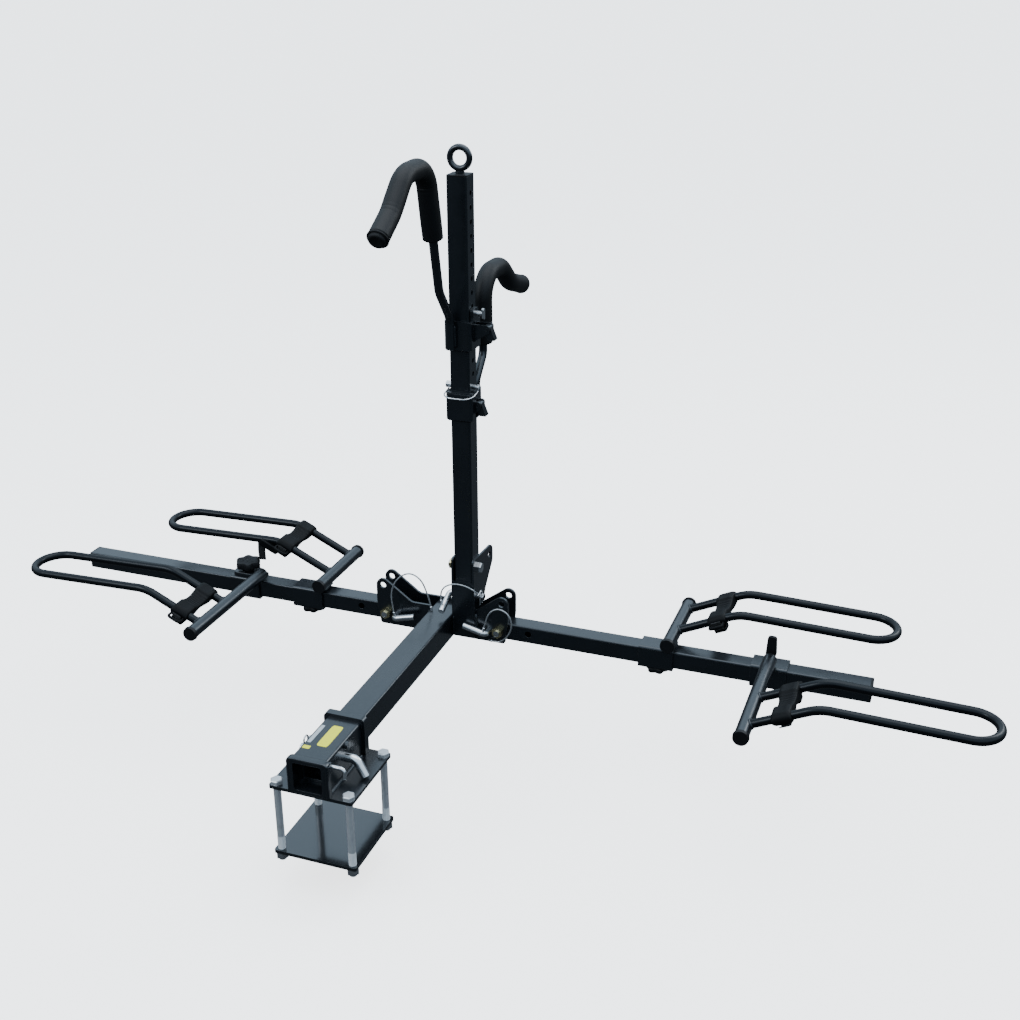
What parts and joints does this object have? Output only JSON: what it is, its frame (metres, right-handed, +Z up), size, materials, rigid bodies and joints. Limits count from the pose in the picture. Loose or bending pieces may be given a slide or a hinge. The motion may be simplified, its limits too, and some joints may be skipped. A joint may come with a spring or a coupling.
{
  "type": "platform bike rack",
  "caption": "Bumper-mounted platform bike rack: square shank, folding wings with sliding wheel hoops, and a folding mast with two foam-covered hooks.",
  "frame": {"origin": "centre of the upper clamp plate's underside, the face that lies on the bumper", "axes": "+X along the right wing, +Y along the shank away from the vehicle, +Z up"},
  "size_m": [1.8789, 0.8731, 1.1064],
  "materials": {
    "black_coat": "black powder coat, satin",
    "gloss_coat": "black powder coat, glossy",
    "zinc": "bright zinc plate",
    "yellow_zinc": "yellow zinc plate",
    "wire": "steel wire in a dull coat",
    "black_plastic": "black moulded plastic",
    "foam": "black foam, matte"
  },
  "bodies": {
    "frame": {"upper_plate": "black_coat", "lower_plate": "gloss_coat", "bumper_bolts": "zinc", "bumper_nuts": "zinc", "receiver_tube": "black_coat", "hitch_pin": "zinc", "hitch_pin_clip": "zinc", "shank_tube": "black_coat", "hub": "black_coat", "mast_bracket": "black_coat", "pivot_bolts": "zinc", "pivot_nuts": "yellow_zinc", "left_lock_pin": "zinc", "right_lock_pin": "zinc", "mast_lock_pin": "zinc", "mast_pin_clip": "zinc", "left_lanyard": "wire", "right_lanyard": "wire", "mast_lanyard": "wire"},
    "rattle_bolt": {"rattle_bolt": "zinc"},
    "left_wing": {"left_beam": "black_coat", "left_end_cap": "black_plastic"},
    "right_wing": {"right_beam": "black_coat", "right_end_cap": "black_plastic"},
    "mast": {"mast_tube": "black_coat", "mast_top_cap": "black_plastic", "eye_bolt": "black_coat"},
    "bail": {"bail_pin": "zinc", "bail_wire": "zinc"},
    "upper_hook": {"upper_sleeve": "black_coat", "upper_hook_rod": "black_coat", "upper_foam_grip": "foam", "upper_end_plug": "black_plastic"},
    "lower_hook": {"lower_sleeve": "black_coat", "lower_hook_rod": "black_coat", "lower_foam_grip": "foam", "lower_end_plug": "black_plastic"},
    "upper_lever": {"upper_lever": "black_coat"},
    "lower_lever": {"lower_lever": "black_coat"},
    "plunger": {"plunger": "zinc"},
    "left_back_holder": {"left_back_bracket": "black_coat", "left_back_plugs": "black_plastic", "left_back_hoop": "black_coat", "left_back_block": "black_plastic"},
    "left_back_knob": {"left_back_knob": "black_plastic"},
    "left_front_holder": {"left_front_bracket": "black_coat", "left_front_plugs": "black_plastic", "left_front_hoop": "black_coat", "left_front_block": "black_plastic"},
    "left_front_knob": {"left_front_knob": "black_plastic"},
    "right_back_holder": {"right_back_bracket": "black_coat", "right_back_plugs": "black_plastic", "right_back_hoop": "black_coat", "right_back_block": "black_plastic"},
    "right_back_knob": {"right_back_knob": "black_plastic"},
    "right_front_holder": {"right_front_bracket": "black_coat", "right_front_plugs": "black_plastic", "right_front_hoop": "black_coat", "right_front_block": "black_plastic"},
    "right_front_knob": {"right_front_knob": "black_plastic"}
  },
  "joints": [
    {"name": "left_wing_fold", "type": "hinge", "parent": "frame", "child": "left_wing", "pos_m": [-0.119, 0.5077, 0.0401], "axis": [0, 1, 0], "range_deg": [0, 84]},
    {"name": "right_wing_fold", "type": "hinge", "parent": "frame", "child": "right_wing", "pos_m": [0.119, 0.5077, 0.0401], "axis": [0, -1, 0], "range_deg": [0, 84]},
    {"name": "mast_fold", "type": "hinge", "parent": "frame", "child": "mast", "pos_m": [0.04885, 0.5002, 0.163], "axis": [1, 0, 0], "range_deg": [0, 90]},
    {"name": "bail_swing", "type": "hinge", "parent": "mast", "child": "bail", "pos_m": [0.04885, 0.5002, 0.5288], "axis": [-1, 0, 0], "range_deg": [0, 55]},
    {"name": "upper_hook_slide", "type": "slide", "parent": "mast", "child": "upper_hook", "axis": [0, 0, 1], "range_m": [-0.045, 0.2]},
    {"name": "lower_hook_slide", "type": "slide", "parent": "mast", "child": "lower_hook", "axis": [0, 0, 1], "range_m": [-0.1, 0]},
    {"name": "upper_lever_swing", "type": "hinge", "parent": "upper_hook", "child": "upper_lever", "pos_m": [0.09885, 0.5002, 0.642], "axis": [0, -1, 0], "range_deg": [0, 25]},
    {"name": "lower_lever_swing", "type": "hinge", "parent": "lower_hook", "child": "lower_lever", "pos_m": [0.08035, 0.5002, 0.497], "axis": [0, -1, 0], "range_deg": [0, 25]},
    {"name": "plunger_pull", "type": "slide", "parent": "upper_hook", "child": "plunger", "axis": [1, 0, 0], "range_m": [0, 0.005]},
    {"name": "rattle_bolt_turn", "type": "hinge", "parent": "frame", "child": "rattle_bolt", "pos_m": [0.03175, -0.064, 0.06], "axis": [1, 0, 0], "range_deg": [-60, 60]},
    {"name": "left_back_slide", "type": "slide", "parent": "left_wing", "child": "left_back_holder", "axis": [-1, 0, 0], "range_m": [-0.08, 0.033]},
    {"name": "left_back_knob_turn", "type": "hinge", "parent": "left_back_holder", "child": "left_back_knob", "pos_m": [-0.298, 0.5077, 0.0381], "axis": [0, 0, 1], "continuous": true},
    {"name": "left_front_slide", "type": "slide", "parent": "left_wing", "child": "left_front_holder", "axis": [-1, 0, 0], "range_m": [-0.033, 0.3]},
    {"name": "left_front_knob_turn", "type": "hinge", "parent": "left_front_holder", "child": "left_front_knob", "pos_m": [-0.444, 0.5077, 0.0381], "axis": [0, 0, 1], "continuous": true},
    {"name": "right_back_slide", "type": "slide", "parent": "right_wing", "child": "right_back_holder", "axis": [1, 0, 0], "range_m": [-0.2, 0.06]},
    {"name": "right_back_knob_turn", "type": "hinge", "parent": "right_back_holder", "child": "right_back_knob", "pos_m": [0.432, 0.5077, 0.0381], "axis": [0, 0, 1], "continuous": true},
    {"name": "right_front_slide", "type": "slide", "parent": "right_wing", "child": "right_front_holder", "axis": [1, 0, 0], "range_m": [-0.06, 0.13]},
    {"name": "right_front_knob_turn", "type": "hinge", "parent": "right_front_holder", "child": "right_front_knob", "pos_m": [0.643, 0.5077, 0.0381], "axis": [0, 0, 1], "continuous": true}
  ]
}
